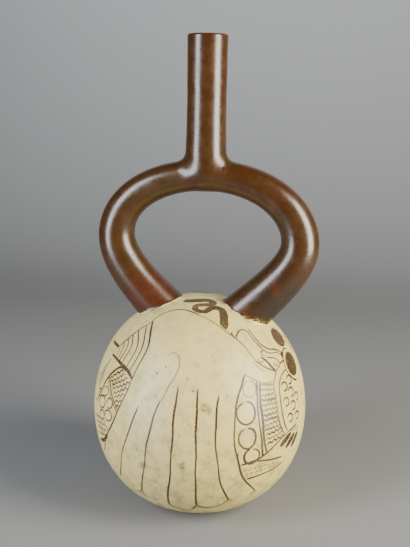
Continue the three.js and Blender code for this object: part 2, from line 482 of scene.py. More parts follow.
class Chart:
    """Where a painter works: millimetres to the right and up from a point of the chamber."""

    def __init__(self, sheet, longitude, latitude, seed):
        self.sheet = sheet
        self.random = random.Random(seed)
        turn, tilt = math.radians(longitude), math.radians(latitude)
        self.ahead = np.array([math.cos(tilt) * math.sin(turn), -math.cos(tilt) * math.cos(turn),
                               math.sin(tilt)])
        self.right = np.array([math.cos(turn), math.sin(turn), 0.0])
        self.up = np.cross(self.ahead, self.right)

    def directions(self, points):
        points = np.asarray(points, float) * MM
        away = np.maximum(np.hypot(points[:, 0], points[:, 1]), 1e-9)
        turn = away / form().globe_radius
        share = (np.sin(turn) / away)[:, None]
        return (np.cos(turn)[:, None] * self.ahead + share * points[:, :1] * self.right
                + share * points[:, 1:] * self.up)

    def line(self, points, width=1.0, strength=1.0, taper=(0.5, 0.5), closed=False):
        """One brush line through points, as wide as the ordinary line times width."""
        path = smooth_path(points, closed)
        path = self.tremble(path, closed)
        ray = self.directions(path)
        if closed:
            ahead = np.roll(ray, -1, 0) - np.roll(ray, 1, 0)
        else:
            ahead = np.gradient(ray, axis=0)
        beside = np.cross(ahead, ray)
        beside /= np.maximum(np.linalg.norm(beside, axis=1, keepdims=True), 1e-12)
        count = len(path)
        run = np.linspace(0, 1, count)
        half = bpy.context.scene.vessel_slip.line_width / form().globe_radius * width / 2
        phase = self.random.uniform(0, math.tau)
        swell = 1 + 0.16 * np.sin(run * count * STROKE_STEP / 9 + phase) + np.array(
            [self.random.uniform(-0.05, 0.05) for _ in range(count)])
        if not closed:
            ends = np.minimum(run, 1 - run) * count * STROKE_STEP
            start, stop = (np.clip(taper[0] + run * count * STROKE_STEP / 4, 0, 1),
                           np.clip(taper[1] + (1 - run) * count * STROKE_STEP / 4, 0, 1))
            swell = swell * np.minimum(start, stop)
        edge = beside * (half * swell)[:, None]
        flat = np.concatenate([self.sheet.place(unit(ray + edge)), self.sheet.place(unit(ray - edge))])
        last = count if closed else count - 1
        patches, shade = [], []
        for row in range(last):
            after = (row + 1) % count
            patches += [(row, after, count + row), (after, count + after, count + row)]
            shade += [min(1.0, strength + 0.1) * (0.93 + 0.07 * math.sin(row * STROKE_STEP / 7 + phase))] * 2
        self.sheet.add([tuple(corner) for corner in flat], patches, shade)

    def tremble(self, path, closed):
        """The small wander of a hand-held brush."""
        run = np.arange(len(path)) * STROKE_STEP
        for scale, reach in ((23, 0.2), (8, 0.04)):
            for axis in (0, 1):
                turns = max(1, round(len(path) * STROKE_STEP / scale)) if closed else None
                rate = math.tau * turns / (len(path) * STROKE_STEP) if closed else math.tau / scale
                path[:, axis] += reach * np.sin(run * rate + self.random.uniform(0, math.tau))
        return path

    def patch(self, outline, strength=1.0):
        """A filled shape."""
        path = smooth_path(outline, True)
        flat = self.sheet.place(self.directions(path))
        self.sheet.add([tuple(corner) for corner in flat], [tuple(range(len(path)))], [strength])

    def ring(self, centre, size, width=1.0, strength=1.0, gap=0.0, start=90.0):
        """A circle or oval, left open over a gap in degrees."""
        steps = np.radians(start + gap / 2 + np.linspace(0, 360 - gap, 13))
        if not gap:
            steps = steps[:-1]
        self.line(oval(centre, size, 0, steps), width, strength, closed=not gap)

    def disc(self, centre, size, strength=1.0, turn=0.0):
        self.patch(oval(centre, size, turn, np.radians(np.arange(0, 360, 30))), strength)


def unit(vectors):
    return vectors / np.linalg.norm(vectors, axis=1, keepdims=True)


def oval(centre, size, turn, steps):
    across, tall = size
    tilt = math.radians(turn)
    flat = np.stack([across * np.cos(steps), tall * np.sin(steps)], -1)
    turned = np.array([[math.cos(tilt), math.sin(tilt)], [-math.sin(tilt), math.cos(tilt)]])
    return flat @ turned + np.array(centre)


def smooth_path(points, closed=False, step=None):
    """Even steps along a smooth curve through the points."""
    step = step or STROKE_STEP
    points = np.array(points, float)
    if closed:
        around = np.concatenate([points[-1:], points, points[:2]])
    else:
        around = np.concatenate([2 * points[:1] - points[1:2], points, 2 * points[-1:] - points[-2:-1]])
    fine = []
    shares = np.linspace(0, 1, 12, endpoint=False)[:, None]
    for before, start, stop, after in zip(around, around[1:], around[2:], around[3:]):
        leave, arrive = (stop - before) / 2, (after - start) / 2
        fine.append((2 * shares ** 3 - 3 * shares ** 2 + 1) * start
                    + (shares ** 3 - 2 * shares ** 2 + shares) * leave
                    + (3 * shares ** 2 - 2 * shares ** 3) * stop + (shares ** 3 - shares ** 2) * arrive)
    fine = np.concatenate(fine + [points[:1] if closed else points[-1:]])
    run = np.concatenate([[0], np.cumsum(np.linalg.norm(np.diff(fine, axis=0), axis=1))])
    count = max(3 if closed else 2, round(run[-1] / step))
    places = np.linspace(0, run[-1], count + 1)
    path = np.stack([np.interp(places, run, fine[:, axis]) for axis in (0, 1)], -1)
    return path[:-1] if closed else path


# ---------------------------------------------------------------- the painting

def paint_front(chart):
    """The winged figure's side: a fan of long feathers between a patterned wing and a patterned mantle."""
    long_feathers(chart)
    wing_root(chart)
    wing_cloth(chart)
    mantle(chart)
    shield(chart)
    neck_scrolls(chart)
    serpent(chart)


def long_feathers(chart):
    """Lines that part the feathers and the scallops that end them."""
    chart.line([(-35, 0), (-40, -10), (-46, -22), (-51, -33), (-55, -45), (-58.5, -54)], 0.9, 0.85, (0.2,
                0.9))
    chart.line([(-21, 4), (-26, -8), (-30, -20), (-33, -34), (-37, -50), (-40, -60), (-39, -65),
                (-36.5, -69)], 0.95, 0.85, (0.2, 0.4))
    chart.line([(-11, 11), (-13, -2), (-14.5, -16), (-16, -32), (-18, -48), (-20.5, -62), (-20.5, -71)],
                1.05, 0.95, (0.3, 0.5))
    chart.line([(0, 10), (-1, -5), (-1.3, -22), (-1.6, -40), (-1.8, -55), (-1.2, -67)], 1.05, 1, (0.3,
                0.9))
    chart.line([(11.5, 7), (10, -5), (9.8, -20), (11.5, -36), (14, -49), (17, -57), (20, -63)], 0.95, 0.9,
                (0.2, 0.9))
    chart.line([(-20.2, -69), (-16.5, -74), (-10, -75.7), (-5, -73.8), (-1.2, -66.8)], 1.05, 0.9)
    chart.line([(-1.2, -66.8), (3, -70), (9, -70.7), (15, -68.6), (19.8, -62)], 1.05, 0.9)
    chart.line([(19.5, -62), (21.5, -64.2), (23.5, -65)], 0.9, 0.8, (1, 0.1))
    chart.line([(-40, -60), (-44, -63.5), (-50, -64), (-56, -60), (-58.5, -54)], 0.8, 0.35)
    chart.line([(-17, 27), (-15.5, 29), (-12.5, 29), (-10.5, 26), (-11, 21), (-13, 16), (-17, 9),
                (-21, 2)], 0.6, 0.4, (0.4, 0.1))


def wing_root(chart):
    """Nested bands that fan out from the shoulder, between a taut lower edge and a notched upper one."""
    upper = [(-54, 39.5), (-50.5, 41.5), (-47, 43.5), (-43.5, 45.5), (-39.5, 48), (-34.5, 50.5),
             (-30.5, 53.5)]
    lower = [(-57, 31), (-54.5, 29), (-52, 27.5), (-49.5, 25.5), (-45, 22), (-42.5, 19), (-40, 15)]
    chart.line(upper + [(-28.5, 56.5), (-22, 60), (-15, 61.5), (-8, 60.5), (0, 56)], 0.9, 0.8, (0.6, 0.6))
    chart.line([(-61.5, 34)] + lower, 1.6, 1, (0.9, 0.4))
    for index, (high, low) in enumerate(zip(upper, lower)):
        middle = ((high[0] + low[0]) / 2 + 1.5 + 0.55 * index, (high[1] + low[1]) / 2 + 0.4)
        last = index == len(upper) - 1
        chart.line([high, middle, low], 1.0 if last else 0.85,
                    0.95 if last else 0.62 + 0.05 * (index % 3))
        if not last:
            chart.disc(high, (0.75, 0.6), 0.8)
    chart.line([(-40, 15), (-42.5, 10), (-47, 3), (-51, -3.5), (-57, -12), (-64, -21), (-70, -30),
                (-76, -39)], 0.95, 0.9)
    for shift in (0, 2.4):
        chart.line([(-67 + shift, 47.5 - shift), (-61 + shift / 2, 43 - shift / 2),
                    (-56 + shift / 4, 39 - shift / 3)], 1.3, 0.95, (0.3, 0.9))
    for shift in range(4):
        chart.line([(-62 - 2 * shift, 30 - 2.5 * shift + 2), (-69 - shift, 26 - 3 * shift),
                    (-78, 21 - 3.4 * shift)], 0.8, 0.5)


def wavy_row(chart, start, stop, waves, height, width=0.85, strength=0.9):
    """A hand-drawn row of small waves."""
    start, stop = np.array(start, float), np.array(stop, float)
    along = stop - start
    beside = np.array([-along[1], along[0]]) / np.linalg.norm(along)
    steps = np.linspace(0, 1, 2 * waves + 1)
    points = [start + share * along + beside * height * (0.5 if index % 2 else -0.5)
              for index, share in enumerate(steps)]
    chart.line(points, width, strength, (0.5, 0.5))


def between(start, stop, share):
    return tuple(a + (b - a) * share for a, b in zip(start, stop))


def wing_cloth(chart):
    """A panel of waves under an arch, and a border of rings beside it."""
    chart.line([(-44, 20), (-47.5, 22.5), (-51, 23.2), (-55, 22), (-60, 19.5), (-64.5, 16), (-68, 12.5),
                (-73, 8), (-77, 4), (-81, 2)], 1.25, 0.9, (0.3, 0.4))
    chart.line([(-61, 18.5), (-59.5, 12), (-57, 5.5), (-53, -1), (-51.5, -3)], 1.2, 0.85)
    chart.line([(-62.3, 17.5), (-60.8, 11), (-58.4, 4.5), (-54.5, -2), (-52.5, -4.5)], 0.8, 0.6)
    rows = 8
    for row in range(rows):
        share = row / (rows - 1)
        left = between((-60.3, 17), (-53, -0.6), share)
        right = between((-47.5, 21.2), (-41.3, 13), min(1, share * 2.2)) if share < 0.45 else between(
            (-41.3, 13), (-50, -1.5), (share - 0.45) / 0.55)
        chart_waves = max(1, round(math.dist(left, right) / 3.1))
        wavy_row(chart, left, right, chart_waves, 1.5, 1.05 - 0.15 * share, 1 - 0.1 * share)
    for centre, size in (((-65, 8.5), 3.4), ((-69.5, 1.2), 4.2), ((-59.8, 0.3), 3.4), ((-62, -8), 3.9),
                         ((-70, -8), 3.3), ((-73.5, 8), 2.6)):
        chart.ring(centre, (size, size), 0.85, 0.75, gap=25, start=200)
    chart.line([(-68, -11), (-65.5, -15.5), (-63, -20)], 0.9, 0.7)
    for row in range(4):
        wavy_row(chart, (-82 + row, -9 - 4.5 * row), (-68 + 1.2 * row, -12 - 3.6 * row), 4, 1.3, 0.9, 0.6)
    chart.line([(-80, -29), (-74, -28.5), (-69, -26), (-65, -22)], 1.8, 0.95, (0.2, 0.9))


def mantle(chart):
    """A border of rings, a double band and rows of waves, hemmed below by a dashed band."""
    chart.line([(26.2, 17.5), (24, 11), (21.8, 3), (20.4, -9), (21, -22), (23.5, -33), (27, -43),
                (31, -50), (35, -54.5), (38.8, -58.8)], 1.0, 0.95, (0.4, 0.9))
    chart.line([(38.8, -58.8), (37.6, -61.4), (35.2, -62.6)], 0.9, 0.8, (1, 0.3))
    chart.line([(26.2, 17.5), (30.5, 15.8), (35.5, 13.8), (40, 13.1), (45, 14)], 0.7, 0.5)
    for centre, size, strength in (((29.2, 9.6), (4, 4.8), 0.5), ((27.3, -4.3), (5.8, 6.5), 0.95),
                                   ((28.8, -19), (5.5, 6.2), 0.95), ((32.3, -30.6), (5.3, 4.7), 1)):
        chart.ring(centre, size, 1.15 if strength > 0.9 else 0.75, strength, gap=14, start=100)
    chart.line([(33.8, 14), (34.2, 1), (36, -9), (38.2, -21), (40.4, -32)], 1.25, 0.9, (0.4, 0.9))
    chart.line([(35.4, 14), (36.6, 1), (38.2, -9), (40.2, -20), (42.6, -30)], 1.5, 0.95, (0.4, 0.9))
    left, right = ([(36.4, 12), (37.3, 0), (39.5, -11), (42.5, -24)],
                   [(45.6, 12.5), (48.6, 0), (52, -11), (57, -20)])
    left, right = smooth_path(left, step=2.95), smooth_path(right, step=2.95)
    for row, (start, stop) in enumerate(zip(left, right)):
        share = 0.55 if row < 2 else 0.9
        wavy_row(chart, start, stop, 4 + (row % 2), 1.5, 1.0, share - 0.06 * (row % 3))
    chart.line([(48.8, 22), (47.6, 17), (46.4, 12), (48, 3), (50.4, -7), (53.6, -15), (57.5, -20)], 0.9,
                0.7)
    chart.line([(25.3, -35.6), (29.5, -35.1), (34, -34.2), (38, -32.6), (42.5, -30), (50, -25.6),
                (57.5, -20.4), (63, -17.3), (71, -14.8)], 1.05, 0.9)
    chart.line([(34, -34.2), (43, -35), (51, -35.7), (57, -36)], 1.1, 0.85)
    chart.line([(30.3, -46.3), (40, -45.6), (50, -43.7), (59, -41)], 1.2, 0.9)
    for row in range(2):
        for index in range(8):
            share = index / 8
            top, foot = between((27.5, -37), (56, -37.4), share), between((31, -45), (58, -41), share)
            place = between(top, foot, 0.28 + 0.42 * row)
            chart.line([(place[0] - 0.8, place[1] - 0.9), place, (place[0] + 1.1, place[1] + 0.5)], 0.85,
                        0.65)


def shield(chart):
    """A round shield strewn with small rings, its cord, the tassels under it and two solid discs above."""
    chart.line([(58, 23.4), (54.8, 20.6), (52.4, 16.6), (51, 11.6), (51.4, 5), (53.4, -4), (56.6, -12.3),
                (60, -17.6)], 1.05, 0.8)
    for centre in ((55.6, 11.6), (62.6, 8.4), (57.4, 1.6), (65.2, -0.8), (62, -9), (69.6, 5.4), (70.6, -8),
                   (61, 16.4)):
        chart.ring(centre, (2.7, 2.9), 1.0, 0.9, gap=70, start=215)
    chart.disc((66.6, 28.8), (7.6, 9.0), 1, 12)
    chart.disc((56.8, 47.4), (7.0, 7.8), 0.95, 20)
    chart.line([(64, 40), (59.6, 38.6), (57.4, 35.4), (56.9, 31), (57.8, 26), (60.2, 21.6), (64, 18.6),
                (68.2, 17), (72, 17.4)], 1.05, 0.9, (0.2, 0.4))
    chart.line([(56.6, 35.4), (55.7, 33), (56.2, 30.6)], 2.0, 0.9)
    chart.line([(66, 55), (71, 48), (76, 40)], 2.6, 0.85, (0.4, 0.4))
    for index, centre in enumerate(((59.2, -23.7), (64.8, -25.3), (70.4, -25.9))):
        chart.disc(centre, (6.8, 2.1), 1, 38 + 9 * index)
    for index in range(3):
        chart.line([(63.8 + 4 * index, -19.4), (66 + 4 * index, -17), (67 + 4 * index, -15.4)], 1.1, 0.6,
                    (0.8, 0.1))


def neck_scrolls(chart):
    """A tongue-shaped lappet, small scrolls and cords that tie the shield to the wing."""
    chart.line([(-3, 57.5), (5, 52), (13.8, 45.6), (21.3, 39.3), (27.5, 33.6), (33.4, 26.6)], 0.65, 0.6,
                (0.2, 0.8))
    chart.line([(19.7, 43.4), (19.4, 41.6), (21.3, 39.3)], 1.3, 0.85)
    chart.line([(21.9, 39.1), (22.7, 42.2), (24.7, 44.8), (27.4, 45.8), (30.2, 44.8), (32.6, 41.2),
                (35.6, 37.4), (39.4, 34.2)], 1.0, 0.85)
    chart.line([(30.3, 47.6), (33.2, 43.8), (36, 39.9), (38.6, 37.4), (43.6, 35.2), (49.5, 35.5),
                (55.4, 35)], 1.0, 0.7)
    chart.ring((40.3, 31.5), (2.1, 1.9), 0.95, 0.85, gap=80, start=330)
    chart.line([(42.2, 32.9), (46.5, 32.6), (51, 33.7), (55.6, 32.6)], 0.75, 0.7)
    chart.line([(37.4, 28.9), (42, 26.2), (46, 22.9), (48.8, 21)], 1.1, 0.9)
    chart.line([(35.6, 28.2), (36.2, 26), (38.6, 25.6), (39.6, 27)], 0.75, 0.6)
    chart.line([(33.4, 26.4), (38.6, 23.2), (43.8, 21.5), (48.6, 21)], 1.1, 0.85)
    chart.line([(31.8, 24.8), (36.3, 21.8), (40.4, 20)], 0.6, 0.4)
    chart.line([(41.8, 28.8), (47.4, 29.5), (50.8, 28.5), (52.4, 26.2), (51, 23.9), (48.8, 21.4)], 0.95,
                0.75)
    chart.line([(52.4, 26.2), (55.4, 28), (58.4, 29.6)], 1.3, 0.8)
    chart.ring((48.6, 26), (1.7, 1.4), 0.7, 0.6, gap=100)


def serpent(chart):
    """A thick winding band that lies on the chamber's top and ends in a point."""
    chart.line([(-11, 72.5), (-4, 71.8), (4, 72.2), (9, 70.6), (8.6, 67.2), (3, 66.4), (-2, 65.2),
                (-3, 61.6), (0, 59.2), (4.2, 59.2), (7.4, 62.4), (11.2, 63.4), (14.6, 61.4), (15.6, 56.6),
                (15.6, 50.4), (16.2, 44.6)], 3.9, 1, (0.8, 0.12))


def paint_back(chart):
    """The far side: the same kinds of feather and cloth, more widely spaced and plainer."""
    for index in range(5):
        top, spread = -22 + 11 * index, 1.35
        chart.line([(top, 8 - abs(index - 2)), (top * 1.05, -14), (top * 1.18, -36), (top * spread, -60)],
                    1.0, 0.9, (0.2, 0.9))
    for index in range(4):
        left, right = (-22 + 11 * index) * 1.35, (-11 + 11 * index) * 1.35
        chart.line([(left, -60), (left + 3, -65.5), ((left + right) / 2, -68), (right - 3, -65.5),
                    (right, -60)], 1.0, 0.9)
    for side in (-1, 1):
        chart.line([(side * 12, 58), (side * 24, 48), (side * 33, 33), (side * 36, 14), (side * 39, -10),
                    (side * 46, -34), (side * 53, -52)], 1.0, 0.9)
        for index in range(5):
            reach = 4 + 3.4 * index
            chart.line([(side * (58 - reach), 42 + reach / 2), (side * (52 - reach * 0.9), 34),
                        (side * (56 - reach), 26 - reach / 3)], 0.9, 0.7)
        for index in range(3):
            chart.ring((side * (47 + index * 1.6), 8 - 13 * index), (5, 5.6), 1.0, 0.85, gap=14)
        for index in range(7):
            wavy_row(chart, (side * (56 + 0.6 * index), 12 - 6 * index), (side * (70 + 0.4 * index),
                     13 - 6 * index), 4, 1.1)
    chart.line([(-10, 68), (-4, 71), (3, 68), (2, 63), (-5, 61), (-6, 56), (0, 53), (7, 54), (9, 48),
                (6, 42)], 3.6, 1, (0.6, 0.12))


# ---------------------------------------------------------------- the vessel put together

def chamber(sheet):
    """The chamber's outside, whose faces part along the edges of the painted strokes."""
    ground, rim = sheet.ground()
    corners = ground + sheet.corners
    shift = len(ground)
    patches = [[shift + index for index in patch] for patch in sheet.patches]
    first = len(corners)
    corners = corners + [tuple(corner) for corner in rim]
    border = [(first + index, first + (index + 1) % len(rim)) for index in range(len(rim))]
    flat, _, triangles, _, _, sources = delaunay_2d_cdt(
        [Vector(corner) for corner in corners], border, patches, 0, 1e-6, True)
    places = sheet.lift(np.array([tuple(corner) for corner in flat]))
    bm = bmesh.new()
    ink = bm.faces.layers.float.new("ink")
    verts = [bm.verts.new(place) for place in places]
    for triangle, source in zip(triangles, sources):
        face = bm.faces.new([verts[index] for index in triangle])
        face[ink] = max((sheet.strengths[index] for index in source), default=0.0)
    bmesh.ops.delete(bm, geom=[vert for vert in bm.verts if not vert.link_faces], context="VERTS")
    edge = [edge for edge in bm.edges if edge.is_boundary]
    skirt = bmesh.ops.extrude_edge_only(bm, edges=edge)["geom"]
    for vert in (item for item in skirt if isinstance(item, bmesh.types.BMVert)):
        across = vert.co.xy.normalized() * form().base_radius
        vert.co = (across.x, across.y, 0)
    bmesh.ops.holes_fill(bm, edges=[edge for edge in bm.edges if edge.is_boundary])
    bm.normal_update()
    bmesh.ops.recalc_face_normals(bm, faces=bm.faces)
    return bm


def combine(base, other, operation):
    """Joins one solid to another, or cuts it away."""
    step = base.modifiers.new(operation, "BOOLEAN")
    step.operation, step.solver, step.object = operation, "MANIFOLD", other
    made = bpy.data.meshes.new_from_object(base.evaluated_get(bpy.context.evaluated_depsgraph_get()))
    if not made.polygons:
        raise RuntimeError(f"{operation} left nothing of {base.name}")
    base.modifiers.clear()
    old, base.data = base.data, made
    bpy.data.meshes.remove(old)
    bpy.data.meshes.remove(other.data)
    bpy.context.view_layer.update()


def store(bm, vessel):
    """Gives the vessel a fresh mesh from the bmesh."""
    old, vessel.data = vessel.data, bpy.data.meshes.new(vessel.name)
    bpy.data.meshes.remove(old)
    bm.to_mesh(vessel.data)
    bm.free()
    bpy.context.view_layer.update()


def points_of(bm):
    return np.array([vert.co for vert in bm.verts])


def outside(bm, part):
    """Which vertices belong to the skin alone, away from the flat base and the lip."""
    height = points_of(bm)[:, 2]
    rim_top = HIGH.z - form().rim_rounding * 2
    inner = {vert.index for face in bm.faces if face[part] == INSIDE_PART for vert in face.verts}
    free = np.ones(len(bm.verts), bool)
    free[list(inner)] = False
    return free & (height > 1.2 * MM) & (height < rim_top)


def smooth_seams(vessel, skin):
    """Rounds the clay where spout, stirrup and chamber meet."""
    bm = bmesh.new()
    bm.from_mesh(vessel.data)
    bmesh.ops.triangulate(bm, faces=bm.faces)
    for _ in range(2):
        places = points_of(bm)
        near = np.abs(globe_distance(places)) < SEAM_REACH
        near &= np.abs(skin.stirrup(places)[0]) < SEAM_REACH
        near &= places[:, 2] > STIRRUP_LOWEST
        bm.verts.ensure_lookup_table()
        long = [edge for edge in bm.edges if edge.calc_length() > SEAM_EDGE
                and all(near[vert.index] for vert in edge.verts)]
        bmesh.ops.subdivide_edges(bm, edges=long, cuts=1)
        bmesh.ops.triangulate(bm, faces=bm.faces)
        bm.verts.index_update()
    part = bm.faces.layers.int["part"]
    free = outside(bm, part)
    places = points_of(bm)
    places[free] = skin.settle(places[free])
    for vert, place in zip(bm.verts, places):
        vert.co = place
    store(bm, vessel)


def finish_skin(vessel, skin):
    """Parts, seam distances and clean normals for the finished solid."""
    bm = bmesh.new()
    bm.from_mesh(vessel.data)
    bmesh.ops.triangulate(bm, faces=bm.faces)
    bmesh.ops.dissolve_degenerate(bm, dist=0.004 * MM, edges=bm.edges)
    bmesh.ops.triangulate(bm, faces=bm.faces)
    part = bm.faces.layers.int["part"]
    for face in bm.faces:
        face.material_index = int(face[part] == INSIDE_PART)
        face.smooth = True
    bm.verts.index_update()
    free = outside(bm, part)
    places = points_of(bm)
    store(bm, vessel)
    seam = globe_distance(places) - np.where(places[:, 2] > 80 * MM, skin.stirrup(places)[0], 40 * MM)
    vessel.data.attributes.new("seam", "FLOAT", "POINT").data.foreach_set("value", seam / MM)
    normals = np.zeros_like(places)
    normals[free] = unit(skin.measure(places[free])[1])
    vessel.data.normals_split_custom_set_from_vertices(normals.tolist())
    vessel.data.attributes.remove(vessel.data.attributes["part"])


class VESSEL_OT_body(bpy.types.Operator):
    """Build the painted chamber, stirrup and spout as one hollow piece"""

    bl_idname = "vessel.body"
    bl_label = "Vessel"
    bl_options = {"REGISTER", "UNDO"}

    def execute(self, context):
        sizes = form()
        centreline = Centreline()
        skin = Skin(centreline)
        sheet = Sheet(skin)
        paint_front(Chart(sheet, 10, 20, 4))
        paint_back(Chart(sheet, 190, 20, 9))
        vessel = finish_mesh(chamber(sheet), "vessel_dressed", GLOBE_PART)
        combine(vessel, finish_mesh(bar(centreline, TUBE_ROWS, TUBE_SIDES), "stirrup", STIRRUP_PART), "UNION")
        combine(vessel, finish_mesh(spout_solid(), "spout", STIRRUP_PART), "UNION")
        combine(vessel, finish_mesh(hollow(), "hollow", INSIDE_PART), "DIFFERENCE")
        bore = finish_mesh(bar(centreline, BORE_ROWS, BORE_SIDES, sizes.tube_wall), "bore", INSIDE_PART)
        combine(vessel, bore, "DIFFERENCE")
        combine(vessel, finish_mesh(spout_bore(), "spout_bore", INSIDE_PART), "DIFFERENCE")
        smooth_seams(vessel, skin)
        finish_skin(vessel, skin)
        for material in (slip_material(), clay_material()):
            vessel.data.materials.append(material)
        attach(vessel, "root")
        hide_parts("vessel")
        return {"FINISHED"}


# ---------------------------------------------------------------- finishes

class Net:
    """A short way to lay out and join shader nodes."""

    def __init__(self, tree):
        self.tree = tree
        tree.nodes.clear()

    def add(self, kind, inputs=(), **settings):
        node = self.tree.nodes.new(kind)
        for name, value in settings.items():
            setattr(node, name, value)
        for name, value in dict(inputs).items():
            if isinstance(value, bpy.types.NodeSocket):
                self.tree.links.new(value, node.inputs[name])
            else:
                node.inputs[name].default_value = value
        return node

    def math(self, operation, first, second=0.0, third=0.0):
        return self.add("ShaderNodeMath", {0: first, 1: second, 2: third}, operation=operation).outputs[0]

    def mix(self, share, first, second, blend="MIX"):
        node = self.add("ShaderNodeMix", data_type="RGBA", blend_type=blend)
        for socket, value in ((node.inputs[0], share), (node.inputs[6], first), (node.inputs[7], second)):
            if isinstance(value, bpy.types.NodeSocket):
                self.tree.links.new(value, socket)
            else:
                socket.default_value = value
        return node.outputs[2]


def group(name, inputs, outputs):
    """A new node group with typed sockets, and its net."""
    tree = bpy.data.node_groups.new(name, "ShaderNodeTree")
    for kind, sockets in (("INPUT", inputs), ("OUTPUT", outputs)):
        for label, socket in sockets:
            tree.interface.new_socket(name=label, in_out=kind, socket_type="NodeSocket" + socket)
    net = Net(tree)
    return tree, net, net.add("NodeGroupInput").outputs


def stain_group():
    """Masks that every slip shares: slow clouds, blotches, fine grain and sparse specks."""
    tree, net, given = group("clay_stains", [("Place", "Vector")],
                             [(label, "Float") for label in ("Cloud", "Blotch", "Grain", "Speck")])

    def noise(size, detail, roughness=0.55):
        return net.add("ShaderNodeTexNoise", {
            "Vector": given["Place"], "Scale": 1 / (size * MM), "Detail": detail,
            "Roughness": roughness}).outputs["Fac"]

    def step(value, low, high):
        return net.add("ShaderNodeMapRange", {"Value": value, "From Min": low, "From Max": high},
                       interpolation_type="SMOOTHSTEP").outputs["Result"]

    cloud, blotch = noise(26, 4.0, 0.6), noise(7, 5.0, 0.65)
    speck = net.math("MULTIPLY", step(noise(1.7, 2.0), 0.63, 0.70), step(blotch, 0.44, 0.62))
    net.add("NodeGroupOutput", {"Cloud": step(cloud, 0.36, 0.66), "Blotch": step(blotch, 0.40, 0.68),
                                "Grain": noise(1.1, 4.0, 0.7), "Speck": speck})
    return tree


def spot_group():
    """A soft round mask about a place."""
    tree, net, given = group("round_spot", [("Place", "Vector"), ("Centre", "Vector"), ("Size", "Float"),
                                            ("Softness", "Float")], [("Mask", "Float")])
    away = net.add("ShaderNodeVectorMath", {0: given["Place"], 1: given["Centre"]},
                   operation="DISTANCE").outputs["Value"]
    mask = net.add("ShaderNodeMapRange", {
        "Value": away, "From Min": net.math("ADD", given["Size"], given["Softness"]),
        "From Max": given["Size"]}, interpolation_type="SMOOTHSTEP")
    net.add("NodeGroupOutput", {"Mask": mask.outputs["Result"]})
    return tree


# The first pit, the smudges after the first and the flecks by the right foot are not in measured places.
PITS = ((63.9, -5.2, 152.5), (-39.7, -7.9, 155.7), (-9.2, -53.1, 102.7), (-13.8, -54.4, 99), (11, -9.8, 251),
        (-17.1, -9, 198))                                   # small holes fired into the clay, in mm
SMUDGES = ((14.8, -61, 83, 5), (9.5, -50.5, 106, 3.5), (-22, -61, 47, 4), (24, -57, 44, 4.5),
           (2, -65, 50, 5), (-40, -47, 72, 4))              # grey rubbed patches: place and size in mm


